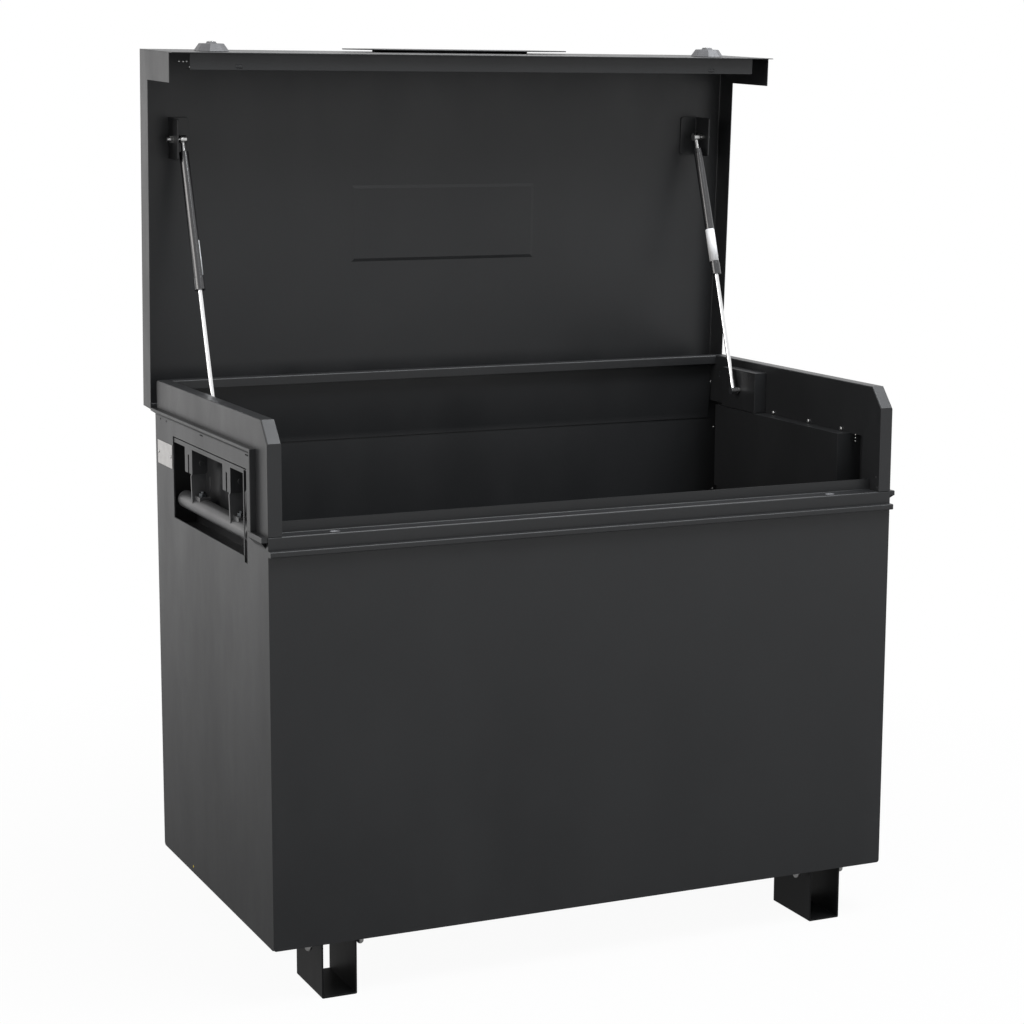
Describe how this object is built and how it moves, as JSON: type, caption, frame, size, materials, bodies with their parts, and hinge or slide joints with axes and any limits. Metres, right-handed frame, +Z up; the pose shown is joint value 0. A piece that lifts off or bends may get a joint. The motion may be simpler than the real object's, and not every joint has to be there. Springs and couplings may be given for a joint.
{
  "type": "jobsite box",
  "caption": "Sheet steel jobsite box on raised feet, with a gas strut lid held open, knob locks in the lid skirt and drop handles in side pockets.",
  "frame": {"origin": "on the floor, under the middle of the open box's bounding box", "axes": "+Z up, -Y towards the front panel, +X to the right as seen from the front"},
  "size_m": [1.226, 0.7159, 1.6193],
  "materials": {
    "body_paint": "fine satin powder coat, anthracite",
    "handle_paint": "fine satin powder coat, anthracite",
    "zinc_steel": "bright zinc plate",
    "plate_metal": "bare brushed plate",
    "knob_plastic": "moulded grey plastic",
    "strut_black": "gloss black",
    "rod_chrome": "ground and chromed"
  },
  "bodies": {
    "box": {"front_panel": "body_paint", "back_panel": "body_paint", "floor_panel": "body_paint", "right_side_panel": "body_paint", "left_side_panel": "body_paint", "right_side_hem": "body_paint", "left_side_hem": "body_paint", "right_collar": "body_paint", "left_collar": "body_paint", "front_ledge": "body_paint", "rear_rim": "body_paint", "right_handle_pocket": "body_paint", "left_handle_pocket": "body_paint", "right_pocket_frame": "body_paint", "left_pocket_frame": "body_paint", "handle_pivot_pins": "body_paint", "right_lower_strut_bracket": "body_paint", "left_lower_strut_bracket": "body_paint", "lower_strut_studs": "zinc_steel", "body_hinge_leaf": "body_paint", "hinge_pin": "zinc_steel", "front_left_foot": "body_paint", "front_right_foot": "body_paint", "rear_left_foot": "body_paint", "rear_right_foot": "body_paint", "foot_bolts": "zinc_steel", "foot_washers": "zinc_steel", "foot_nuts": "zinc_steel", "rating_plate": "plate_metal", "plate_rivets": "zinc_steel", "pocket_screws": "zinc_steel"},
    "lid": {"lid_top_panel": "body_paint", "lid_front_skirt": "body_paint", "lid_rear_skirt": "body_paint", "lid_right_skirt": "body_paint", "lid_left_skirt": "body_paint", "lid_lock_rail": "body_paint", "lid_pull_handle": "body_paint", "lid_hinge_leaf": "body_paint", "right_upper_strut_bracket": "body_paint", "left_upper_strut_bracket": "body_paint", "upper_strut_studs": "zinc_steel"},
    "right_handle": {"right_handle_tube": "handle_paint", "right_handle_straps": "handle_paint", "right_handle_bolts": "zinc_steel"},
    "right_knob": {"right_lock_knob": "knob_plastic", "right_lock_cam": "zinc_steel"},
    "right_bolt": {"right_lock_bolt": "body_paint"},
    "right_tube": {"right_strut_tube": "strut_black", "right_strut_socket": "zinc_steel"},
    "right_rod": {"right_strut_rod": "rod_chrome"},
    "left_handle": {"left_handle_tube": "handle_paint", "left_handle_straps": "handle_paint", "left_handle_bolts": "zinc_steel"},
    "left_knob": {"left_lock_knob": "knob_plastic", "left_lock_cam": "zinc_steel"},
    "left_bolt": {"left_lock_bolt": "body_paint"},
    "left_tube": {"left_strut_tube": "strut_black", "left_strut_socket": "zinc_steel"},
    "left_rod": {"left_strut_rod": "rod_chrome"}
  },
  "joints": [
    {"name": "lid_hinge", "type": "hinge", "parent": "box", "child": "lid", "pos_m": [0, 0.30097, 0.946], "axis": [1, 0, 0], "range_deg": [0, 87.5]},
    {"name": "right_handle_swing", "type": "hinge", "parent": "box", "child": "right_handle", "pos_m": [0.582, -0.01073, 0.872], "axis": [0, -1, 0], "range_deg": [0, 90]},
    {"name": "right_knob_turn", "type": "hinge", "parent": "lid", "child": "right_knob", "pos_m": [0.5097, 0.21089, 1.6017], "axis": [0, -0.0436, 0.999], "range_deg": [0, 90]},
    {"name": "right_bolt_throw", "type": "slide", "parent": "lid", "child": "right_bolt", "axis": [0, -0.999, -0.0436], "range_m": [0, 0.0201]},
    {"name": "right_strut_swing", "type": "hinge", "parent": "lid", "child": "right_tube", "pos_m": [0.5394, 0.3038, 1.4428], "axis": [1, 0, 0], "range_deg": [0, 17.2]},
    {"name": "right_strut_stroke", "type": "slide", "parent": "right_tube", "child": "right_rod", "axis": [0, 0.3275, 0.9449], "range_m": [0, 0.20025]},
    {"name": "left_handle_swing", "type": "hinge", "parent": "box", "child": "left_handle", "pos_m": [-0.582, -0.01073, 0.872], "axis": [0, 1, 0], "range_deg": [0, 90]},
    {"name": "left_knob_turn", "type": "hinge", "parent": "lid", "child": "left_knob", "pos_m": [-0.5097, 0.21089, 1.6017], "axis": [0, 0.0436, -0.999], "range_deg": [0, 90]},
    {"name": "left_bolt_throw", "type": "slide", "parent": "lid", "child": "left_bolt", "axis": [0, -0.999, -0.0436], "range_m": [0, 0.0201]},
    {"name": "left_strut_swing", "type": "hinge", "parent": "lid", "child": "left_tube", "pos_m": [-0.5394, 0.3038, 1.4428], "axis": [1, 0, 0], "range_deg": [0, 17.2]},
    {"name": "left_strut_stroke", "type": "slide", "parent": "left_tube", "child": "left_rod", "axis": [0, 0.3275, 0.9449], "range_m": [0, 0.20025]}
  ],
  "couplings": [
    {"joint": "right_bolt_throw", "follows": "right_knob_turn", "m_per_rad": 0.012732},
    {"joint": "right_strut_swing", "follows": "lid_hinge", "ratio": 0.19538},
    {"joint": "right_strut_stroke", "follows": "lid_hinge", "m_per_rad": 0.1308},
    {"joint": "left_bolt_throw", "follows": "left_knob_turn", "m_per_rad": 0.012732},
    {"joint": "left_strut_swing", "follows": "lid_hinge", "ratio": 0.19538},
    {"joint": "left_strut_stroke", "follows": "lid_hinge", "m_per_rad": 0.1308}
  ]
}
